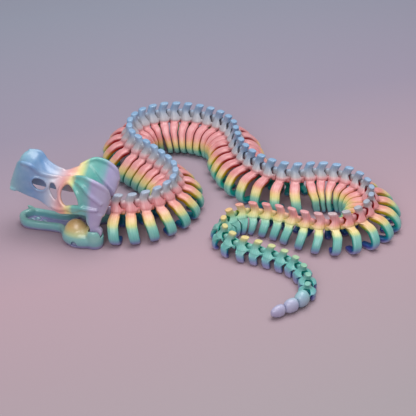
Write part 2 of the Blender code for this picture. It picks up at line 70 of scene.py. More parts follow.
BODY_HALF_LEAST = 3.4
BELLY = 1.10                                # widest point, as a share of the foot's distance
RIB_THICK = 4.6
RIB_THICK_TAIL = 3.8                        # least thickness, towards the tail
RIB_RAKE = ((0.0, 0.0), (0.35, -1.0), (0.6, 0.2), (0.8, 1.8), (1.0, 2.4))  # share out, shift back
# Course of a rib: way from body to belly with height as a share of the body's top, then how far
# inside the foot each of its last points is, in rib thicknesses and as a share of the tuck.
RIB_COURSE = ((0.45, 0.65), (0.84, 0.45), (1.0, 0.24))
FOOT_COURSE = ((0.40, 0.04), (0.55, 0.26), (0.80, 0.42))
HEEL_LEVEL = (0.06, 0.2)                    # share of the link's height, of the rib's thickness
FOOT_LEVEL = 0.42
TUCK_FROM = (6.0, 16.0)                     # distance of a foot over which its tuck grows
RIB_STEPS = 145                             # points along a rib's line
RIB_GAP = 0.35                              # from a rib to the plane between two links
RIB_HALF_LEAST = 1.6

# Colour bands of the chain. From the far row they rise towards the viewer by the slope, up to a
# most. Crests keep a share of that, and in the rear row they add a lift.
BAND_BASE = 10.0
BAND_FAR = 105.0
BAND_SLOPE = 0.053
BAND_MOST = 8.6
BAND_REAR_LIFT = ((9, 0.0), (13, 3.0), (23, 3.0), (28, 0.8), (32, 0.0))
BAND_CREST_FROM = (0.45, 0.80)              # share of the link's height
BAND_CREST_SHARE = ((0, 0.75), (4, 0.70), (14, 0.40), (24, 0.0), (40, 0.05), (45, 0.35), (53, 1.0),
                    (55, 1.35), (57, 1.3), (59, 1.0), (69, 1.0))
# Ribs above this layer are drawn down into the pink by up to the pull.
RIB_PINK = (27.0, 32.0)
RIB_PINK_PULL = 4.0
RIB_EDGE = (5.0, 6.5)                       # distance out over which the rib begins

# ------------------------------------------------------------------ the flat vertebra, in mm
FLAT_LEVELS = (0.0, 20.5, 30.4, 38.0)       # floor, underside of the body, its top, crest top
FLAT_HALF = 4.37                            # half width of the body
FLAT_CREST = 4.0
RIB_LEVEL = 21.2                            # height of the ribs' middle line
RIB_ROOT = 2.0                              # where that line starts, from the middle
RIB_HALF = 3.65
RIB_TOP = 24.4                              # above this level a point moves with the body
RIB_BLEND = (3.2, 5.8)                      # distance out over which the rib takes over from it
CREST_BLEND = 2.0                           # height over which the crest takes its own length
RIB_SPANS = (47.0, 38.0, 29.0, 20.0, 13.0)  # lengths of rib that are modelled
VOXEL = 0.5

# Column, wings and crest: height, front and rear x, half width.
COLUMN = (
    (20.5, -1.5, 1.2, 3.0), (21.4, -1.9, 2.2, 4.4), (22.4, -2.8, 3.6, 5.8), (23.3, -3.8, 4.8, 7.0),
    (24.2, -4.3, 5.6, 7.7), (25.4, -4.3, 5.7, 7.6), (27.0, -3.9, 4.8, 6.6), (28.8, -3.4, 4.1, 5.1),
    (30.4, -3.3, 3.2, 3.9), (31.8, -3.3, 3.1, 3.1), (33.0, -3.2, 3.4, 2.7), (34.6, -2.6, 4.0, 2.6),
    (36.4, -1.9, 4.8, 2.7), (37.4, -1.6, 5.3, 2.7), (38.0, -0.9, 5.1, 2.1))
COLUMN_POWER = 0.75                         # boxiness of its outline, as in oval()
RECESS = (3.6, 21.5, 31.4)                  # radius round the next joint, lowest and highest level
# Rib: distance out (a share of the span when 1 or less), half width, half thickness.
RIB = ((1.02, 1.8, 1.9), (3.5, 2.5, 2.2), (5.5, 3.2, 2.4), (7.5, 3.6, 2.5), (0.30, 3.7, 2.55),
       (0.50, 3.65, 2.5), (0.66, 3.5, 2.4), (0.78, 3.2, 2.2), (0.90, 2.9, 2.0), (0.98, 2.5, 1.7),
       (1.0, 1.7, 1.2))
RIB_OUTLINE = (0.6, 8, 0.5)                 # boxiness, corners and phase of its section
# Knob in front: height, radius; and its neck: x, half width, half height.
KNOB = ((21.5, 1.2), (22.0, 1.8), (22.9, 2.15), (30.4, 2.15), (31.6, 1.8), (32.2, 1.1))
KNOB_NECK = ((-5.0, 1.3, 3.9), (-3.4, 1.3, 4.0), (-1.5, 1.7, 4.2), (0.0, 1.9, 4.4))
NECK_OUTLINE = (0.5, 12, 0.5)
NECK_LEVEL = 26.4
FLAT_ROUNDS = 2                             # times the skin is smoothed
CUP_RADII = (3.2, 4.3)
CUP_LEVELS = (21.1, 27.0)
CUP_MOUTH = 60.0                            # degrees to either side of the way back
CUP_EDGE = ((0.0, 0.5), (0.4, 0.0), (-0.5, 0.0), (0.0, 0.6))    # shift out and rise at its corners
CUP_STEPS = 24
# Painted shade in the flat vertebra, as darker and more saturated colour: rib against body, inner
# against outer face of a rib, round a socket past its recess, its highest level, and the underside
# of the wings.
SHADE_RIB = (4.0, 6.0)
SHADE_FACE = (-0.3, 1.3)
SHADE_SOCKET = (0.2, 0.7)
SHADE_SOCKET_TOP = (30.2, 31.2)
SHADE_WING = (21.6, 22.8)
# Barrels at the tail's end: x, share of the full size; the last one is pointed.
BARREL = ((-4.7, 0.45), (-4.2, 0.72), (-2.8, 0.95), (0.0, 1.0), (2.4, 0.92), (4.2, 0.70),
          (5.0, 0.48))
BARREL_LAST = ((-4.7, 0.5), (-4.2, 0.75), (-2.8, 0.97), (0.0, 1.0), (3.0, 0.8), (4.8, 0.5),
               (5.5, 0.25))
BARREL_VOXEL = 0.4
BARREL_ROUNDS = 2


# ------------------------------------------------------------------ modelling helpers
SMOOTHING = 0.5
ROPE_SIDES = 10
DRUM_SIDES = 32
DISC_SIDES = 28


def deselect():
    for thing in list(bpy.context.selected_objects):
        thing.select_set(False)


def only(thing):
    deselect()
    thing.select_set(True)
    bpy.context.view_layer.objects.active = thing


def tube(rings):
    """Closed shell: a face with as many corners as the rings is extruded from ring to ring."""
    deselect()
    bpy.ops.mesh.primitive_circle_add(vertices=len(rings[0]), radius=1.0, fill_type="NGON")
    shell = bpy.context.object
    bpy.ops.object.mode_set(mode="EDIT")
    for step, ring in enumerate(rings):
        if step:
            bpy.ops.mesh.extrude_region_move()
        face = next(f for f in bmesh.from_edit_mesh(shell.data).faces if f.select)
        for corner, place in zip(face.verts, ring):
            corner.co = place
    bmesh.update_edit_mesh(shell.data)
    bpy.ops.mesh.select_all(action="SELECT")
    bpy.ops.mesh.normals_make_consistent(inside=False)
    bpy.ops.object.mode_set(mode="OBJECT")
    return shell


def modify(thing, kind, **settings):
    only(thing)
    modifier = thing.modifiers.new(kind.lower(), kind)
    for key, value in settings.items():
        setattr(modifier, key, value)
    bpy.ops.object.modifier_apply(modifier=modifier.name)


def cast(name, shapes, voxel, rounds):
    """One skin over overlapping shapes, as a print has, smoothed a number of rounds."""
    deselect()
    for shape in shapes:
        shape.select_set(True)
    bpy.context.view_layer.objects.active = shapes[0]
    if len(shapes) > 1:
        bpy.ops.object.join()
    whole = shapes[0]
    whole.name = name
    modify(whole, "REMESH", mode="VOXEL", voxel_size=voxel, use_smooth_shade=True)
    if rounds:
        modify(whole, "SMOOTH", factor=SMOOTHING, iterations=rounds)
    return whole


def cut(thing, cutter):
    """Takes a shape away, and the cutter with it."""
    modify(thing, "BOOLEAN", operation="DIFFERENCE", object=cutter, solver="EXACT")
    bpy.data.objects.remove(cutter, do_unlink=True)


def oval(half_a, half_b, power=1.0, sides=20, phase=0.0):
    """Outline round the middle: an ellipse, or boxier with a power below 1."""
    outline = []
    for step in range(sides):
        angle = math.tau * (step + phase) / sides
        a, b = math.cos(angle), math.sin(angle)
        outline.append((half_a * math.copysign(abs(a) ** power, a),
                        half_b * math.copysign(abs(b) ** power, b)))
    return outline


def along(table, link):
    """Size at a link, in a straight line between the table's entries."""
    return float(np.interp(link, *zip(*table)))


def ramp(values, low, high):
    """0 below the low value, 1 above the high one, and straight between them."""
    return np.clip((values - low) / (high - low), 0.0, 1.0)


def flow(values, places):
    """Smooth curve through evenly numbered values, read at fractional places."""
    values = np.asarray(values, float)
    places = np.asarray(places, float)
    before = 2 * values[:1] - values[1:2]
    after = 2 * values[-1:] - values[-2:-1]
    padded = np.concatenate([before, values, after])
    index = np.clip(np.floor(places).astype(int), 0, len(values) - 2)
    t = (places - index).reshape(places.shape + (1,) * (values.ndim - 1))
    p0, p1, p2, p3 = (padded[index + k] for k in range(4))
    return 0.5 * (2 * p1 + (p2 - p0) * t + (2 * p0 - 5 * p1 + 4 * p2 - p3) * t ** 2
                  + (3 * p1 - p0 - 3 * p2 + p3) * t ** 3)


def drum(radius, levels, x=0.0):
    """Upright cylinder between two levels."""
    return tube([[(x + a, b, z) for a, b in oval(radius, radius, sides=DRUM_SIDES)]
                 for z in levels])


def rope(points, radii):
    """Round rod along a smooth line through points, with a radius at each."""
    steps = 4 * (len(points) - 1) + 1
    places = np.linspace(0, len(points) - 1, steps)
    line = [Vector(p) for p in flow(points, places)]
    sizes = np.interp(places, range(len(radii)), radii)
    rings = []
    side = None
    for i, (middle, size) in enumerate(zip(line, sizes)):
        run = (line[min(i + 1, steps - 1)] - line[max(i - 1, 0)]).normalized()
        if side is None:
            side = run.orthogonal().normalized()
        side = (side - run * side.dot(run)).normalized()
        over = run.cross(side)
        rings.append([middle + side * a + over * b
                      for a, b in oval(size, size, sides=ROPE_SIDES)])
    return tube(rings)


# ------------------------------------------------------------------ one flat vertebra
def flat_vertebra(span):
    """Vertebra with straight ribs of a span, ready to be bent into any link."""
    column = tube([[((x0 + x1) / 2 + a, b, z) for a, b in oval((x1 - x0) / 2, half, COLUMN_POWER)]
                   for z, x0, x1, half in COLUMN])
    radius, *levels = RECESS
    cut(column, drum(radius, levels, PITCH / 2))
    shapes = [column]
    for side in (-1, 1):
        rings = []
        for out, half, thick in RIB:
            y = side * (out * span if out <= 1 else out)
            rings.append([(a, y, RIB_LEVEL + b) for a, b in oval(half, thick, *RIB_OUTLINE)])
        shapes.append(tube(rings))
    shapes.append(tube([[(a - PITCH / 2, b, z) for a, b in oval(radius, radius)]
                        for z, radius in KNOB]))
    shapes.append(tube([[(x, a, NECK_LEVEL + b) for a, b in oval(half, tall, *NECK_OUTLINE)]
                        for x, half, tall in KNOB_NECK]))
    shapes.append(flat_cup())
    vertebra = cast("flat_vertebra", shapes, VOXEL, FLAT_ROUNDS)
    points = points_of(vertebra.data)
    # "deep" holds painted shade: darker, more saturated colour inside, between the ribs, under the
    # wings and round the sockets
    add_attribute(vertebra.data, "deep", painted_shade(points))
    add_attribute(vertebra.data, "across", points[:, 0])
    return vertebra


def painted_shade(points):
    """Painted shade, as darker and more saturated colour: little on faces to the light, much inside
    and between.
    """
    x, y, z = points.T
    in_rib = ramp(np.abs(y), *SHADE_RIB) * (z < RIB_TOP)
    inner_face = 1.0 - ramp(z - RIB_LEVEL, *SHADE_FACE)
    past_recess = np.hypot(x - PITCH / 2, y) - RECESS[0]
    socket = (1.0 - ramp(past_recess, *SHADE_SOCKET)) * (1.0 - ramp(z, *SHADE_SOCKET_TOP))
    under_wing = 1.0 - ramp(z, *SHADE_WING)
    return np.maximum(np.maximum(in_rib * inner_face, socket), under_wing * (1.0 - in_rib))


def flat_cup():
    """C-shaped socket behind the body, made by spinning its section round the joint."""
    start = math.radians(CUP_MOUTH)
    middle = Vector((PITCH / 2, 0.0, 0.0))
    inner, outer = CUP_RADII
    low, high = CUP_LEVELS
    edge = [(radius + shift, rise)
            for radius, (shift, rise) in zip((inner, inner, outer, outer), CUP_EDGE)]
    section = ([(radius, low + rise) for radius, rise in edge]
               + [(radius, high - rise) for radius, rise in reversed(edge)])
    deselect()
    bpy.ops.mesh.primitive_circle_add(vertices=len(section), radius=1.0, fill_type="NGON")
    cup = bpy.context.object
    bpy.ops.object.mode_set(mode="EDIT")
    face = next(iter(bmesh.from_edit_mesh(cup.data).faces))
    for corner, (radius, z) in zip(face.verts, section):
        corner.co = middle + Vector((radius * math.cos(-start), radius * math.sin(-start), z))
    bmesh.update_edit_mesh(cup.data)
    bpy.ops.mesh.spin(steps=CUP_STEPS, angle=math.tau - 2 * start, center=middle,
                      axis=(0.0, 0.0, 1.0))
    bpy.ops.mesh.select_all(action="SELECT")
    bpy.ops.mesh.remove_doubles(threshold=0.001)
    bpy.ops.mesh.normals_make_consistent(inside=False)
    bpy.ops.object.mode_set(mode="OBJECT")
    return cup


# ------------------------------------------------------------------ bending it into a link
def rib_thickness(foot_out):
    return min(RIB_THICK, max(RIB_THICK_TAIL, RIB_THICK * foot_out / FOOT_OUT[0][1]))


def body_half(height):
    """Half width of a link's body."""
    return max(BODY_HALF_SHARE * height, BODY_HALF_LEAST)


def rib_route(number, side, turns):
    """Middle line of a rib as (out, z) down to the floor, and its share of the full thickness."""
    height, foot_out, top = (along(table, number) for table in (HEIGHT, FOOT_OUT, BODY_TOP))
    half = body_half(height)
    thick = rib_thickness(foot_out)
    closing = math.radians(max(side * turns[number], side * turns[number + 1], 1.0))
    farthest = (PITCH / 2 - RIB_GAP - RIB_HALF_LEAST) / math.tan(closing / 2) - thick / 2
    belly = BELLY * foot_out - thick / 2
    foot = min(foot_out, farthest + thick / 2)
    tuck = float(ramp(foot, *TUCK_FROM)) * belly
    root = float(np.interp(RIB_LEVEL, FLAT_LEVELS, real_levels(number)))
    points = [(RIB_ROOT * half / FLAT_HALF, root)]
    points += [(min(half + way * (belly - half), farthest), share * top * height)
               for way, share in RIB_COURSE]
    heel = HEEL_LEVEL[0] * height + HEEL_LEVEL[1] * thick
    sole = FOOT_LEVEL * thick
    points += [(foot - inside * thick - share * tuck, level)
               for (inside, share), level in zip(FOOT_COURSE, (heel, sole, sole))]
    return flow(points, np.linspace(0, len(points) - 1, RIB_STEPS)), thick / RIB_THICK


def real_levels(number):
    """The real heights of a link at the flat vertebra's levels."""
    height, top = along(HEIGHT, number), along(BODY_TOP, number)
    return 0.0, (top - BODY_DEPTH) * height, top * height, height


def bent(flat, span, number, turns):
    """Points of the flat vertebra, moved to where a link has them."""
    x, y, z = flat.T
    size = along(FOOT_OUT, number) / FOOT_OUT[0][1]
    half = body_half(along(HEIGHT, number))
    crest = along(CREST_HALF, number) / FLAT_CREST
    body_top = FLAT_LEVELS[2]
    grow = np.interp(z, (body_top, body_top + CREST_BLEND), (1.0, crest))
    levels = np.interp(z, FLAT_LEVELS, real_levels(number))
    body = np.column_stack([x * grow, y * half / FLAT_HALF, levels])
    rib = body.copy()
    for side in (-1, 1):
        here = side * y > 0
        route, thin = rib_route(number, side, turns)
        steps = np.concatenate([[0.0], np.cumsum(np.hypot(*np.diff(route, axis=0).T))])
        run = np.gradient(route, axis=0)
        run /= np.hypot(*run.T)[:, None]
        far = ramp(side * y[here], RIB_ROOT, span) * steps[-1]
        out, up, run_out, run_up = (np.interp(far, steps, line) for line in (*route.T, *run.T))
        off = (z[here] - RIB_LEVEL) * thin
        reach = out - run_up * off
        front, rear = (np.maximum(0.0, side * reach * math.tan(math.radians(turn / 2)))
                       for turn in turns[number:number + 2])
        room = PITCH / 2 - RIB_GAP - np.where(x[here] < 0, front, rear)
        narrow = np.clip(room / RIB_HALF, 0.0, along(RIB_WIDE, number))
        rake = np.interp(far / steps[-1], *zip(*RIB_RAKE)) * size
        rib[here] = np.column_stack([x[here] * narrow + rake, side * reach,
                                     np.maximum(up + run_out * off, 0.0)])
    share = ramp(np.abs(y), *RIB_BLEND) * np.clip(RIB_TOP - z, 0.0, 1.0)
    share = (share * share * (3 - 2 * share))[:, None]
    return body * (1 - share) + rib * share


def chain_turns():
    return [0.0] + [angle for count, angle in BENDS for _ in range(count)] + [0.0]


def chain_places(turns):
    """Where every link's middle is, in mm, with its heading."""
    x, y, _ = (value / MM for value in JOINTS["skull_turn"]["pos_m"])
    heading = FIRST_HEADING
    places = []
    for turn in turns[:-1]:
        heading += turn
        step = Vector((math.cos(math.radians(heading)), math.sin(math.radians(heading))))
        places.append((x + step.x * PITCH / 2, y + step.y * PITCH / 2, heading))
        x, y = x + step.x * PITCH, y + step.y * PITCH
    return places


def points_of(mesh):
    flat = np.empty(len(mesh.vertices) * 3)
    mesh.vertices.foreach_get("co", flat)
    return flat.reshape(-1, 3)


def add_attribute(mesh, name, values):
    attribute = mesh.attributes.new(name, "FLOAT", "POINT")
    attribute.data.foreach_set("value", values.astype(np.float32))


def set_points(mesh, points):
    mesh.vertices.foreach_set("co", np.ascontiguousarray(points, dtype=np.float64).ravel())
    mesh.update()


def link_matrix(place):
    x, y, heading = place
    return Matrix.Translation((x, y, 0.0)) @ Matrix.Rotation(math.radians(heading), 4, "Z")


def settle(piece, matrix, material, body, replaced=None):
    """Puts a finished piece in its place in the frame, with its material, hangs it under its body
    and hides the part that it replaces.
    """
    piece.data.transform(Matrix.Scale(MM, 4) @ matrix)
    piece.data.materials.clear()
    piece.data.materials.append(material)
    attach(piece, body)
    if replaced:
        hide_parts(replaced)


def chain_layers(points, flat, number, place):
    """Colour height of a link's points: the bands rise towards the viewer, less at the crests.

    The ribs stay pink up to their tops, where the wings over them are already gray.
    """
    _, y, heading = place
    turn = math.radians(heading)
    away = y + points[:, 0] * math.sin(turn) + points[:, 1] * math.cos(turn)
    crest = ramp(points[:, 2] / along(HEIGHT, number), *BAND_CREST_FROM)
    kept = 1.0 - (1.0 - along(BAND_CREST_SHARE, number)) * crest
    rise = np.minimum(BAND_SLOPE * (BAND_FAR - away), BAND_MOST) * kept
    rise += crest * along(BAND_REAR_LIFT, number)
    layer = points[:, 2] - rise + BAND_BASE
    on_rib = ramp(np.abs(flat[:, 1]), *RIB_EDGE) * (flat[:, 2] < RIB_TOP)
    return layer - on_rib * ramp(layer, *RIB_PINK) * RIB_PINK_PULL


def build_chain(material, tip_material):
    """All links, each with its own mesh; the ones in the tail's tip are plain barrels."""
    turns = chain_turns()
    places = chain_places(turns)
    flats = {span: flat_vertebra(span) for span in RIB_SPANS}
    for body, first, last in LENGTHS:
        for number in range(first, last + 1):
            replaced = body if number == first else None
            matrix = link_matrix(places[number])
            if body == "tail_tip":
                settle(barrel(number, number == last), matrix, tip_material, body, replaced)
                continue
            route, _ = rib_route(number, -1, turns)
            longest = np.hypot(*np.diff(route, axis=0).T).sum()
            span = min(RIB_SPANS, key=lambda value: abs(value - longest))
            only(flats[span])
            bpy.ops.object.duplicate(linked=False)
            link = bpy.context.object
            link.name = f"vertebra_{number:02d}"
            flat = points_of(link.data)
            shape = bent(flat, span, number, turns)
            set_points(link.data, shape)
            layers = chain_layers(shape, flat, number, places[number])
            add_attribute(link.data, "layer", layers)
            settle(link, matrix, material, body, replaced)
    for flat in flats.values():
        bpy.data.objects.remove(flat, do_unlink=True)


def barrel(number, is_last):
    """Smooth segment of the tail's tip, flat below, with rounded ends."""
    half, width = along(HEIGHT, number) / 2, along(FOOT_OUT, number)
    rings = []
    for x, grow in BARREL_LAST if is_last else BARREL:
        outline = oval(width * grow, half * (1 + grow) / 2 * grow ** 0.5)
        rings.append([(x, a, max(half + b, 0.0)) for a, b in outline])
    return cast(f"tail_segment_{number}", [tube(rings)], BARREL_VOXEL, BARREL_ROUNDS)


# ------------------------------------------------------------------ skull, in mm
# Its own frame: s forward from the neck joint, v sideways, w upwards, tilted nose up.
SKULL_YAW = 9.5
SKULL_PITCH = 22.0
WALL = 2.2
VALLEY = (0.45, 0.40)                       # shares of the ridge's v and of its rise, on the slope
# s, then (v, w) of the lower rim, side, upper side and ridge, then w of the middle
SKULL_SECTIONS = (
    (0.5, (16.5, 2.0), (17.5, 6.0), (15.5, 11.0), (13.0, 13.5), 5.5),
    (3.5, (18.5, 0.5), (19.0, 7.0), (17.5, 14.5), (14.0, 19.5), 5.5),
    (8.0, (19.5, -0.5), (20.0, 7.0), (18.5, 16.0), (15.0, 23.0), 7.0),
    (16.0, (19.0, -3.0), (19.5, 6.0), (18.5, 17.0), (15.5, 24.5), 10.0),
    (24.0, (17.5, -7.5), (18.0, 4.0), (17.0, 17.0), (13.5, 23.5), 12.5),
    (30.0, (16.5, -11.0), (16.0, -1.0), (13.0, 11.0), (9.0, 18.5), 12.5),
    (36.0, (15.0, -11.5), (14.0, -2.0), (11.0, 8.0), (6.0, 13.5), 11.0),
    (42.0, (12.5, -11.8), (12.0, -3.0), (9.5, 6.0), (5.0, 10.0), 8.0),
    (49.0, (10.0, -12.0), (10.5, -4.0), (10.0, 4.0), (7.5, 9.0), 6.5),
    (56.0, (9.0, -13.0), (10.0, -5.0), (10.5, 4.0), (9.0, 9.8), 8.2),
    (62.0, (8.5, -13.2), (9.8, -6.0), (10.8, 4.0), (10.0, 13.2), 11.0),
    (69.5, (7.2, -13.5), (8.6, -7.0), (9.6, 1.0), (8.6, 11.0), 9.5),
    (72.0, (4.5, -12.5), (5.6, -7.0), (6.4, 0.0), (5.6, 7.5), 6.5),
)
HOLLOW_REACH = (14.0, 67.0)                 # s of the hollow's ends
HOLLOW_DROP = 10.0                          # how far it reaches below the rim
# Notches cut from the rear: front, half width, and top unless they go right up.
UNDER_CUT = (15.0, 12.6, 2.0)
NECK_NOTCH = (3.6, 5.6)
THROAT_NOTCH = (1.8, 12.9, 5.8)
CUT_FAR = 40.0                              # where cutters end, outside the skull
HOLE_FROM = 3.5                             # v where the side openings start
NECK_RING = (4.6, -3.7, 3.2)                # outer radius, lowest and highest level
NECK_BORE = 2.9
MOUTH_REACH = 14.0                          # how far back the opening of that ring is cut
# Outlines of the side openings, as (s, w).
ORBIT = ((18.6, 4.2), (21.4, -1.8), (27.8, -3.6), (33.8, -1.0), (36.4, 6.2), (33.0, 12.4),
         (25.2, 12.6))
NOSTRIL = ((45.8, 2.6), (47.8, -2.6), (53.4, -3.6), (57.6, 0.8), (56.0, 5.2), (50.0, 5.9))
SLIT = ((36.5, -3.5), (42.5, -0.5), (44.5, 5.0), (41.5, 5.5), (38.0, 2.0))
RIMS = ((ORBIT, 1.5), (NOSTRIL, 0.9))       # with the radius of the rim round it
HOLE_POINTS = 32
RIM_POINTS = 16
LEG_SIDE = (15.6, 20.6)                     # v of a leg's inner and outer face
LEG = ((9.5, 4.5, 16.0), (7.6, 0.5, 12.6), (6.6, -2.5, 11.2), (6.2, -4.8, 10.4), (5.4, -6.8, 9.4),
       (3.8, -9.0, 8.0), (2.2, -10.9, 7.4))  # s, w, length
LEG_POWER = 0.6                             # boxiness of its section
LEG_BALL = (1.6, -10.9, 4.6)                # s, w, radius
LEG_BALL_EDGE = 0.7
BRAINCASE = ((17.3, 6.2, -2.0, 9.4), (4.6, 4.7, -2.6, 5.3))   # s, half width, lowest and highest w
SKULL_VOXEL = 0.5
SKULL_ROUNDS = 3
# Ridges on either side, as (s, place on the ring, radius); the ring runs 0 rim, 1 side,
# 2 upper side, 3 ridge, 4 slope, 5 middle, and down the other side to 10.
RIDGE_PLACE = 3
RING_END = 10
RIDGES = (
    ((1.5, 3.0, 1.2), (6.0, 3.0, 1.7), (12.0, 3.0, 1.9), (18.0, 3.0, 1.9), (24.0, 3.0, 1.7),
     (31.0, 3.0, 1.3)),
    ((40.0, 3.0, 1.0), (46.0, 3.0, 1.5), (54.0, 3.0, 1.8), (61.0, 3.0, 1.9), (69.0, 3.0, 1.6)),
    ((29.0, 2.5, 0.9), (23.0, 2.15, 1.4), (17.0, 1.9, 1.6), (11.0, 1.75, 1.6), (5.0, 1.6, 1.4)),
    ((24.0, 3.5, 0.6), (18.0, 3.8, 1.1), (12.0, 4.0, 1.3), (6.0, 4.1, 1.1), (3.0, 4.1, 0.8)),
    ((38.0, 0.25, 0.9), (32.0, 0.4, 1.6), (25.0, 0.6, 1.9), (18.0, 0.75, 2.0), (11.0, 0.85, 1.8),
     (6.0, 1.0, 1.4)),
    ((66.0, 0.1, 1.2), (69.0, 0.02, 1.5), (70.4, 0.0, 1.3)),
)
SKIN_STEPS = 61                             # points along the vault, and round it
HOLLOW_STEPS = 33
SEARCH_STEPS = 601


def skull_matrix(pitch=SKULL_PITCH):
    """Frame of the skull: x forward, y to the viewer's side, z up."""
    neck = Vector(JOINTS["skull_turn"]["pos_m"]) / MM
    return (Matrix.Translation(neck) @ Matrix.Rotation(math.radians(180.0 - SKULL_YAW), 4, "Z")
            @ Matrix.Rotation(-math.radians(pitch), 4, "Y"))


def skull_rows(sections, inset=0.0):
    """Points (s, v, w) round each section, from one lower rim over the top to the other."""
    rows = []
    for s, rim, side, upper, ridge, middle in sections:
        slope = (ridge[0] * VALLEY[0], middle + (ridge[1] - middle) * VALLEY[1])
        if inset:
            rim, side = (rim[0] - inset, rim[1] - HOLLOW_DROP), (side[0] - inset, side[1])
            upper = (upper[0] - inset, upper[1] - inset / 2)
            ridge, slope = (ridge[0] - inset / 2, ridge[1] - inset), (slope[0], slope[1] - inset)
            middle -= inset
        half = (rim, side, upper, ridge, slope)
        rows.append([(s, v, w) for v, w in half] + [(s, 0.0, middle)]
                    + [(s, -v, w) for v, w in reversed(half)])
    return np.array(rows)


def skin(rows, lengthwise, around):
    """Smooth surface through the sections, read on a grid of fractional places."""
    return np.swapaxes(flow(np.swapaxes(flow(rows, lengthwise), 0, 1), around), 0, 1)


def place_of(s):
    """Fractional number of the section at a distance s."""
    places = np.linspace(0, len(SKULL_SECTIONS) - 1, SEARCH_STEPS)
    return float(np.interp(s, flow([row[0] for row in SKULL_SECTIONS], places), places))


def on_skull(s, around):
    """Point of the skull's outer surface."""
    return skin(skull_rows(SKULL_SECTIONS), [place_of(s)], [around])[0, 0]


def side_of_skull(s, w):
    """Point on the skull's side wall at a distance s and a height w."""
    around = np.linspace(0, RIDGE_PLACE, SKIN_STEPS)
    wall = skin(skull_rows(SKULL_SECTIONS), [place_of(s)], around)[0]
    return np.array([np.interp(w, wall[:, 2], line) for line in wall.T])


def closed_flow(points, count):
    """Smooth closed outline through points."""
    wrapped = [points[-1], *points, points[0], points[1]]
    return flow(wrapped, np.linspace(1, len(points) + 1, count, endpoint=False))


def moved(thing, matrix):
    thing.data.transform(matrix)
    return thing


def block(low, high):
    """Box between two corners, used for cutting."""
    (x0, y0, z0), (x1, y1, z1) = low, high
    return tube([[(x, y0, z0), (x, y1, z0), (x, y1, z1), (x, y0, z1)] for x in (x0, x1)])


def side_hole(outline, side):
    """Cutter through one side wall with a smooth outline."""
    edge = closed_flow(outline, HOLE_POINTS)
    return tube([[(s, v, w) for s, w in edge] for v in (side * HOLE_FROM, side * CUT_FAR)])


def rear_block(front, half_width, top):
    return block((-CUT_FAR, -half_width, -CUT_FAR), (front, half_width, top))


def skull_shell():
    """Vault of the skull, hollow and open below, with its side openings."""
    around = np.linspace(0, RING_END, SKIN_STEPS)
    lengthwise = np.linspace(0, len(SKULL_SECTIONS) - 1, SKIN_STEPS)
    shell = tube(skin(skull_rows(SKULL_SECTIONS), lengthwise, around))
    inner = [row for row in SKULL_SECTIONS if HOLLOW_REACH[0] < row[0] < HOLLOW_REACH[1]]
    lengthwise = np.linspace(0, len(inner) - 1, HOLLOW_STEPS)
    cut(shell, tube(skin(skull_rows(inner, WALL), lengthwise, around)))
    for outline in (ORBIT, NOSTRIL, SLIT):
        for side in (-1, 1):
            cut(shell, side_hole(outline, side))
    cut(shell, rear_block(*UNDER_CUT))
    return shell


def skull_details():
    """Ridges, rims and legs that stand on the vault."""
    shapes = []
    half = (LEG_SIDE[1] - LEG_SIDE[0]) / 2
    s_ball, w_ball, radius = LEG_BALL
    ball = ((-half, radius - LEG_BALL_EDGE), (-half + LEG_BALL_EDGE, radius),
            (half - LEG_BALL_EDGE, radius), (half, radius - LEG_BALL_EDGE))
    for side in (-1, 1):
        mirror = np.array([1, side, 1])
        for ridge in RIDGES:
            shapes.append(rope([on_skull(s, around) * mirror for s, around, _ in ridge],
                               [thick for *_, thick in ridge]))
        for outline, thick in RIMS:
            rim = [side_of_skull(s, w) * mirror for s, w in closed_flow(outline, RIM_POINTS)]
            shapes.append(rope([*rim, rim[0], rim[1]], [thick] * (len(rim) + 2)))
        middle = side * (LEG_SIDE[0] + LEG_SIDE[1]) / 2
        shapes.append(tube([[(s + a, middle + b, w) for a, b in oval(length / 2, half, LEG_POWER)]
                            for s, w, length in LEG]))
        shapes.append(tube([[(s_ball + a, middle + side * off, w_ball + b)
                             for a, b in oval(size, size, sides=DISC_SIDES)]
                            for off, size in ball]))
    return shapes


def socket_mouth():
    """Cutter that opens the neck's socket to the rear, as wide as the links' cups are open."""
    wide = MOUTH_REACH * math.sin(math.radians(CUP_MOUTH))
    deep = -MOUTH_REACH * math.cos(math.radians(CUP_MOUTH))
    outline = ((0.0, 0.0), (deep, -wide), (-MOUTH_REACH, -wide), (-MOUTH_REACH, wide),
               (deep, wide))
    return tube([[(a, b, z) for a, b in outline] for z in (-CUT_FAR, CUT_FAR)])


def build_skull(material):
    """Skull with its braincase and the socket for the neck's first knob."""
    case = tube([[(s, -half, low), (s, half, low), (s, half, high), (s, -half, high)]
                 for s, half, low, high in BRAINCASE])
    skull = cast("skull", [skull_shell(), *skull_details(), case], SKULL_VOXEL, 0)
    moved(skull, skull_matrix())
    level = skull_matrix(0.0)
    for notch in (rear_block(*NECK_NOTCH, CUT_FAR), rear_block(*THROAT_NOTCH)):
        cut(skull, moved(notch, level))
    radius, *levels = NECK_RING
    skull = cast("skull", [skull, moved(drum(radius, levels), level)], SKULL_VOXEL, 0)
    cut(skull, moved(drum(NECK_BORE, (-CUT_FAR, CUT_FAR)), level))
    cut(skull, moved(socket_mouth(), level))
    skull = cast("skull", [skull], SKULL_VOXEL, SKULL_ROUNDS)
    settle(skull, Matrix.Identity(4), material, "skull", "skull")


# ------------------------------------------------------------------ lower jaw, in mm
# Its own level frame: a forward from its hinge, v sideways, z up.
JAW_YAW = 14.6
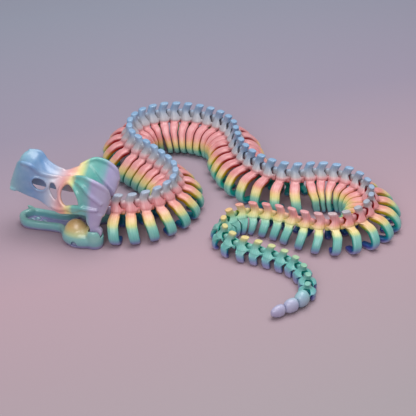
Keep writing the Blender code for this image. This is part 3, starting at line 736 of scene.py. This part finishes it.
# Horseshoe wall: along, aside, top, thickness, from a rear end to the tip.
JAW_BAR = ((-4.0, 12.5, 9.0, 4.2), (1.0, 18.0, 9.5, 4.4), (12.0, 21.0, 9.5, 4.6),
           (22.0, 16.5, 9.0, 4.6), (29.0, 8.4, 7.6, 4.4), (38.0, 7.4, 7.0, 4.4),
           (50.0, 8.0, 7.2, 4.6), (58.0, 6.8, 7.6, 4.8))
JAW_TIP = (62.6, 0.0, 7.8, 5.0)
JAW_OUTLINE = (0.65, 16)                    # boxiness and corners of the wall's section
JAW_FLOOR = ((28.0, 8.0), (38.0, 7.4), (50.0, 7.9), (58.0, 6.0), (61.0, 1.5))   # along, half width
JAW_FLOOR_TOP = 1.6
# Bumps on the floor and the wall: along, aside, radius, top.
JAW_BUMPS = ((52.0, -2.6, 2.2, 3.6), (56.0, -1.2, 1.9, 3.2), (46.5, -1.8, 1.8, 3.0),
             (49.0, 2.6, 1.8, 2.8))
JAW_HOOK = ((57.0, -6.8, 6.0), (59.0, -6.4, 8.6), (60.6, -5.4, 10.6))
JAW_HOOK_RADII = (2.4, 1.7, 0.7)
# Swellings on each side: along, aside, half length, half width, top; then (share of the top,
# share of the size) from the floor up.
DOME = (14.0, 16.0, 8.5, 6.5, 18.8)
DOME_LEVELS = ((0.0, 0.95), (0.35, 1.12), (0.60, 1.02), (0.78, 0.82), (0.92, 0.50), (1.0, 0.16))
BULB = (10.4, 16.6, 14.6, 9.0, 12.8)
BULB_LEVELS = ((0.0, 0.86), (0.30, 1.0), (0.58, 0.97), (0.80, 0.82), (0.94, 0.62), (1.0, 0.45))
LEG_CUP = (1.6, 18.1, 7.0, 6.4, 14.0)
LEG_CUP_LEVELS = ((0.0, 0.84), (0.40, 0.98), (0.80, 0.93), (1.0, 0.76))
LEG_CUP_BORE = 5.2                          # radius of its bore, round the hinge's axis
LEG_CUP_PLAY = 0.7                          # room on either side of the leg
BOSS_STEPS = 13
PIT = (13.4, 22.0, 1.5, 4.0, 4.8)           # along, from aside, bottom, height, width
JAW_VOXEL = 0.45
JAW_ROUNDS = 9
GOLD_FROM = 8.0                             # height where the golden tones start
GOLD_REACH = (9.5, 14.0)                    # distance from a dome over which they fade


def jaw_matrix(yaw, height=0.0):
    x, y, _ = (value / MM for value in JOINTS["jaw_hinge"]["pos_m"])
    return Matrix.Translation((x, y, height)) @ Matrix.Rotation(math.radians(180.0 - yaw), 4, "Z")


def jaw_wall():
    """Horseshoe wall from one rear end round the tip to the other."""
    route = [*JAW_BAR, JAW_TIP] + [(a, -v, top, thick) for a, v, top, thick in reversed(JAW_BAR)]
    route = flow(route, np.linspace(0, len(route) - 1, 4 * len(route) - 3))
    rings = []
    for i, (a, v, top, thick) in enumerate(route):
        run = route[min(i + 1, len(route) - 1)] - route[max(i - 1, 0)]
        run = run[:2] / np.hypot(*run[:2])
        rings.append([(a - run[1] * off, v + run[0] * off, max(top / 2 + up, 0.0))
                      for off, up in oval(thick / 2, top / 2, *JAW_OUTLINE)])
    return tube(rings)


def boss(a, v, half_a, half_v, top, levels):
    """Rounded swelling with a flat base."""
    steps = flow(levels, np.linspace(0, len(levels) - 1, BOSS_STEPS))
    return tube([[(a + x, v + y, level * top)
                  for x, y in oval(half_a * grow, half_v * grow, sides=DISC_SIDES)]
                 for level, grow in steps])


def jaw_layers(points):
    """Colour height of the jaw's points: the golden tones only show on the domes."""
    to_local = jaw_matrix(JAW_YAW).inverted()
    local = points @ np.array(to_local.to_3x3()).T
    local += np.array(to_local.translation)
    a, v, z = local.T
    from_dome = np.hypot(a - DOME[0], np.abs(v) - DOME[1])
    share = 1.0 - ramp(from_dome, *GOLD_REACH)
    return np.minimum(z, GOLD_FROM) + np.maximum(z - GOLD_FROM, 0.0) * share


def build_lower_jaw(material):
    """Shallow jaw with a dome and a leg's cup on each side, flat on the floor."""
    lying, square = jaw_matrix(JAW_YAW), jaw_matrix(SKULL_YAW)
    outline = [(a, v) for a, v in JAW_FLOOR] + [(a, -v) for a, v in reversed(JAW_FLOOR)]
    shapes = [moved(jaw_wall(), lying),
              moved(tube([[(a, v, z) for a, v in outline] for z in (0.0, JAW_FLOOR_TOP)]), lying)]
    swellings = ((DOME, DOME_LEVELS, lying), (BULB, BULB_LEVELS, lying),
                 (LEG_CUP, LEG_CUP_LEVELS, square))
    for side in (-1, 1):
        for (a, v, *sizes), levels, place in swellings:
            shapes.append(moved(boss(a, side * v, *sizes, levels), place))
    for a, v, radius, top in JAW_BUMPS:
        shapes.append(moved(boss(a, v, radius, radius, top, DOME_LEVELS), lying))
    shapes.append(moved(rope(JAW_HOOK, JAW_HOOK_RADII), lying))
    jaw = cast("lower_jaw", shapes, JAW_VOXEL, 0)
    a, v, low, high, wide = PIT
    upper_half = [(x, z) for x, z in oval(wide / 2, high) if z > -0.01]
    arch = [(a + x, low + z) for x, z in upper_half]
    for side in (-1, 1):
        pit = tube([[(a, side * far, z) for a, z in arch] for far in (v, CUT_FAR)])
        cut(jaw, moved(pit, lying))
    hinge = jaw_matrix(SKULL_YAW, JOINTS["jaw_hinge"]["pos_m"][2] / MM)
    for side in (-1, 1):
        faces = (side * (LEG_SIDE[0] - LEG_CUP_PLAY), side * (LEG_SIDE[1] + LEG_CUP_PLAY))
        bore = tube([[(a, v, b) for a, b in oval(LEG_CUP_BORE, LEG_CUP_BORE, sides=DRUM_SIDES)]
                     for v in faces])
        cut(jaw, moved(bore, hinge))
    jaw = cast("lower_jaw", [jaw], JAW_VOXEL, JAW_ROUNDS)
    add_attribute(jaw.data, "layer", jaw_layers(points_of(jaw.data)))
    settle(jaw, Matrix.Identity(4), material, "lower_jaw", "lower_jaw")


# ------------------------------------------------------------------ finishes
# Bands of colour as (place in mm, colour), and the length that the ramp holds.
BODY_SPAN = 48.0
BODY_BANDS = ((0.0, "c3b9d4"), (3.0, "a5a1c8"), (5.0, "888cba"), (7.2, "749eb6"), (9.5, "70b4ae"),
              (14.0, "7dbdb0"), (16.0, "92c4a6"), (17.6, "c8cf90"), (19.5, "e4cf8c"),
              (22.0, "e8bc8a"), (24.0, "e49f8e"), (26.0, "de9494"), (30.5, "da999c"),
              (32.2, "d2abae"), (33.4, "b8afb3"), (36.8, "aab0bc"), (39.5, "98afca"),
              (42.0, "8eafd0"), (48.0, "86aaca"))
TIP_SPAN = 34.0
TIP_BANDS = ((0.0, "b3acca"), (7.0, "aeb0cc"), (12.0, "9ebccb"), (18.0, "8cc4c2"), (27.0, "7cc4b6"))
TIP_RUN = ((0.0, 1.0, 0.0), (0.0, -0.134, 0.0))   # way the bands run, and a point where they start
SKULL_SPAN = 80.0
SKULL_BANDS = ((0.0, "b4abc0"), (8.0, "b0a5c4"), (15.0, "a99fc6"), (18.5, "78b0b6"),
               (22.0, "69b3ad"), (28.5, "75bbaf"), (31.5, "d6d894"), (34.0, "efd498"),
               (36.0, "ecb89c"), (39.5, "e3a6a4"), (44.0, "d4b6be"), (48.0, "bfc0d0"),
               (53.0, "93aaca"), (61.0, "779cc8"), (71.0, "7ca5c0"), (79.0, "98c8cc"))
SKULL_WAY = (-0.945, 0.322, 0.061)
SKULL_LEAD = 10.0                           # how far before the neck joint its bands start, in mm
JAW_SPAN = 21.0
JAW_BANDS = ((0.0, "8f8ab4"), (2.0, "8684ae"), (3.2, "79a9b4"), (5.0, "76b0b3"), (8.0, "84b9b2"),
             (10.0, "bccb9c"), (12.5, "d5c488"), (15.5, "d8b47a"), (20.0, "cba26e"))

# Noise scales are per metre, pitches in mm; the rest says how strongly each thing shows.
BODY_COAT = 0.42                            # share of clear coat
HEAD_COAT = 0.95
COAT_ROUGHNESS = 0.2
ROUGHNESS = 0.43
WANDER_SCALE = 38.0
WANDER = 1.6                                # how far the bands stray, in mm
CLOUD_SCALE, CLOUD_DETAIL = 140.0, 3.0
CLOUD_SATURATION, CLOUD_VALUE, CLOUD_ROUGHNESS = 0.5, 0.22, 0.10
# Painted shade: how much more saturated and darker the colour gets where the mesh's "deep" is high
SHADE_SATURATION, SHADE_VALUE = 0.75, 0.42
GROOVE_PITCH = 1.6                          # between the fine lines along ribs and crests
# The grooves' colour is painted shade in their hollows and painted highlight on their crests; their
# height goes to the bump
GROOVE_SHADE, GROOVE_HEIGHT = 0.035, 5.0
LAYER_PITCH = 0.45                          # between the print's layer lines
LAYER_HEIGHT = 0.5
GRAIN_SCALE = 900.0
BUMP_STRENGTH, BUMP_DISTANCE = 0.12, 0.06 * MM


def linear(code):
    """Colour of a hex code as the shader takes it."""
    parts = [int(code[i:i + 2], 16) / 255 for i in (0, 2, 4)]
    bright = (p / 12.92 if p <= 0.04045 else ((p + 0.055) / 1.055) ** 2.4 for p in parts)
    return (*bright, 1.0)


class Wire:
    """A number in the shader: arithmetic on it adds Math nodes."""

    def __init__(self, finish, socket):
        self.finish, self.socket = finish, socket

    def reckon(self, operation, first, second=0.0):
        node = self.finish.node("ShaderNodeMath", {"operation": operation}, {0: first, 1: second})
        return Wire(self.finish, node.outputs[0])

    def __add__(self, other):
        return self.reckon("ADD", self, other)

    def __sub__(self, other):
        return self.reckon("SUBTRACT", self, other)

    def __rsub__(self, other):
        return self.reckon("SUBTRACT", other, self)

    def __mul__(self, other):
        return self.reckon("MULTIPLY", self, other)

    def __truediv__(self, other):
        return self.reckon("DIVIDE", self, other)

    __radd__, __rmul__ = __add__, __mul__

    def sine(self):
        return self.reckon("SINE", self)


class Finish:
    """A material made of nodes."""

    def __init__(self, name):
        self.material = bpy.data.materials.new(name)
        self.material.use_nodes = True
        self.tree = self.material.node_tree
        self.shader = self.tree.nodes["Principled BSDF"]

    def node(self, kind, settings, inputs):
        """Any node: its settings first, then the values or links of its sockets."""
        node = self.tree.nodes.new(kind)
        for key, value in settings.items():
            if key == "stops":
                self.set_stops(node.color_ramp, value)
            else:
                setattr(node, key, value)
        for key, value in inputs.items():
            self.feed(node.inputs[key], value)
        return node

    @staticmethod
    def set_stops(colours, stops):
        while len(colours.elements) < len(stops):
            colours.elements.new(1.0)
        for element, (place, code) in zip(colours.elements, stops):
            element.position = place
            element.color = linear(code)

    def feed(self, socket, value):
        if isinstance(value, Wire):
            self.tree.links.new(value.socket, socket)
        elif isinstance(value, bpy.types.NodeSocket):
            self.tree.links.new(value, socket)
        else:
            socket.default_value = value

    def object_place(self):
        return self.node("ShaderNodeTexCoord", {}, {}).outputs["Object"]

    def attribute(self, name):
        """The mesh's own value for each point, which is 0 where the mesh has none."""
        node = self.node("ShaderNodeAttribute", {"attribute_name": name}, {})
        return Wire(self, node.outputs["Fac"])

    def noise(self, place, scale, detail=2.0):
        node = self.node("ShaderNodeTexNoise", {},
                         {"Vector": place, "Scale": scale, "Detail": detail})
        return Wire(self, node.outputs["Fac"])

    def colours(self, stops, place):
        """Colour at a place from 0 to 1 along the stops."""
        node = self.node("ShaderNodeValToRGB", {"stops": stops}, {"Fac": place})
        return node.outputs["Color"]

    def fraction(self, place, direction, origin, span):
        """How far a point is along a direction, as a share of a span; all in metres."""
        offset = self.node("ShaderNodeVectorMath", {"operation": "SUBTRACT"}, {0: place, 1: origin})
        dot = self.node("ShaderNodeVectorMath", {"operation": "DOT_PRODUCT"},
                        {0: offset.outputs[0], 1: direction})
        return Wire(self, dot.outputs["Value"]) / span


def silk_plastic(name, stops, span, way=None, origin=None, coat=BODY_COAT):
    """Satin print with bands of colour and fine layer lines.

    The bands run along a way from an origin, or by the mesh's own attribute "layer". Where the
    mesh has them, "deep" paints shade as darker, more saturated colour, and "across" sets the
    grooves, whose colour paints shade in their hollows and highlight on their crests.
    """
    finish = Finish(name)
    place = finish.object_place()
    if way:
        layer = finish.fraction(place, way, origin, span * MM)
    else:
        layer = finish.attribute("layer") / span
    wander = finish.noise(place, WANDER_SCALE) - 0.5
    bands = finish.colours([(at / span, code) for at, code in stops],
                           layer + wander * (WANDER / span))
    cloud = finish.noise(place, CLOUD_SCALE, CLOUD_DETAIL)
    # "deep" is painted shade: it makes the colour more saturated and darker
    deep = finish.attribute("deep")
    # the grooves paint shade in their hollows and highlight on their crests, besides their bump
    grooves = (finish.attribute("across") * (math.tau / GROOVE_PITCH)).sine()
    saturation = 1.0 - (cloud - 0.5) * CLOUD_SATURATION + deep * SHADE_SATURATION
    value = 1.0 + (cloud - 0.5) * CLOUD_VALUE + grooves * GROOVE_SHADE - deep * SHADE_VALUE
    tone = finish.node("ShaderNodeHueSaturation", {},
                       {"Hue": 0.5, "Saturation": saturation, "Value": value, "Fac": 1.0,
                        "Color": bands})
    finish.feed(finish.shader.inputs["Base Color"], tone.outputs["Color"])
    finish.feed(finish.shader.inputs["Roughness"], ROUGHNESS + (cloud - 0.5) * CLOUD_ROUGHNESS)
    finish.shader.inputs["Metallic"].default_value = 0.0
    finish.shader.inputs["Coat Weight"].default_value = coat
    finish.shader.inputs["Coat Roughness"].default_value = COAT_ROUGHNESS
    ripple = (layer * (math.tau * span / LAYER_PITCH)).sine()
    grain = finish.noise(place, GRAIN_SCALE, 2.0)
    height = ripple * LAYER_HEIGHT + grain + grooves * GROOVE_HEIGHT
    bump = finish.node("ShaderNodeBump", {}, {"Strength": BUMP_STRENGTH,
                                              "Distance": BUMP_DISTANCE, "Height": height})
    finish.feed(finish.shader.inputs["Normal"], bump.outputs["Normal"])
    return finish.material


# ------------------------------------------------------------------ stage, in metres
FLOOR_SIZE = 6.0
# Painted light on the floor: brightest and pinkest round the model, a little darker towards the
# camera, and darker and bluer towards the far side
FLOOR_PAINTED_LIGHT = ((0.0, "9f9398"), (0.10, "a8939b"), (0.20, "b1959f"), (0.45, "998fa1"),
               (0.75, "9598a8"))
FLOOR_RUN = ((-0.35, 0.94, 0.0), (0.0, -0.25, 0.0), 0.9)    # way, origin and length of the tones
FLOOR_ROUGHNESS = 0.6
LIGHTS = (("overhead", (0.15, 0.10, 1.1), (0.0, 0.02, 0.0), 1.1, 11.0),
          ("front", (-0.35, -1.15, 0.95), (0.0, 0.0, 0.0), 1.0, 9.2))   # place, aim, size, watts
ROOM_COLOUR = "dfe0ea"
ROOM_STRENGTH = 0.31
LENS, SENSOR = 88.73, 36.0                  # in mm, fitted to the photograph with the next two
CAMERA_PLACE = (-0.00086, -0.65860, 0.40535)
CAMERA_DOWN = 31.446                        # degrees
CLIP_END = 20.0


def build_floor():
    bpy.ops.mesh.primitive_plane_add(size=FLOOR_SIZE)
    floor = bpy.context.object
    floor.name = "floor"
    finish = Finish("pale_floor")
    share = finish.fraction(finish.object_place(), *FLOOR_RUN)
    # the floor's colour is painted light, a pool of light that fades away from the model
    finish.feed(finish.shader.inputs["Base Color"], finish.colours(FLOOR_PAINTED_LIGHT, share))
    finish.shader.inputs["Roughness"].default_value = FLOOR_ROUGHNESS
    floor.data.materials.append(finish.material)


def build_stage():
    """Plain pale floor, soft studio light and a camera at the photograph's angle."""
    deselect()
    build_floor()
    scene = bpy.context.scene
    for name, place, aim, size, watts in LIGHTS:
        lamp = bpy.data.lights.new(name, "AREA")
        lamp.shape, lamp.size, lamp.energy = "DISK", size, watts
        thing = bpy.data.objects.new(name, lamp)
        thing.location = place
        thing.rotation_euler = (Vector(aim) - Vector(place)).to_track_quat("-Z", "Y").to_euler()
        scene.collection.objects.link(thing)

    world = bpy.data.worlds.new("soft_room")
    world.use_nodes = True
    background = world.node_tree.nodes["Background"]
    background.inputs["Color"].default_value = linear(ROOM_COLOUR)
    background.inputs["Strength"].default_value = ROOM_STRENGTH
    scene.world = world
    scene.view_settings.view_transform = "Standard"

    camera = bpy.data.cameras.new("camera")
    camera.lens, camera.sensor_width = LENS, SENSOR
    camera.clip_end = CLIP_END
    eye = bpy.data.objects.new("camera", camera)
    eye.location = CAMERA_PLACE
    eye.rotation_euler = (math.radians(90 - CAMERA_DOWN), 0.0, 0.0)
    scene.collection.objects.link(eye)
    scene.camera = eye


deselect()
skull_origin = tuple(place - SKULL_LEAD * MM * way
                     for place, way in zip(JOINTS["skull_turn"]["pos_m"], SKULL_WAY))
build_chain(silk_plastic("body_silk", BODY_BANDS, BODY_SPAN),
            silk_plastic("tip_silk", TIP_BANDS, TIP_SPAN, *TIP_RUN))
build_skull(silk_plastic("skull_silk", SKULL_BANDS, SKULL_SPAN, SKULL_WAY, skull_origin,
                         HEAD_COAT))
build_lower_jaw(silk_plastic("jaw_silk", JAW_BANDS, JAW_SPAN, coat=HEAD_COAT))
build_stage()
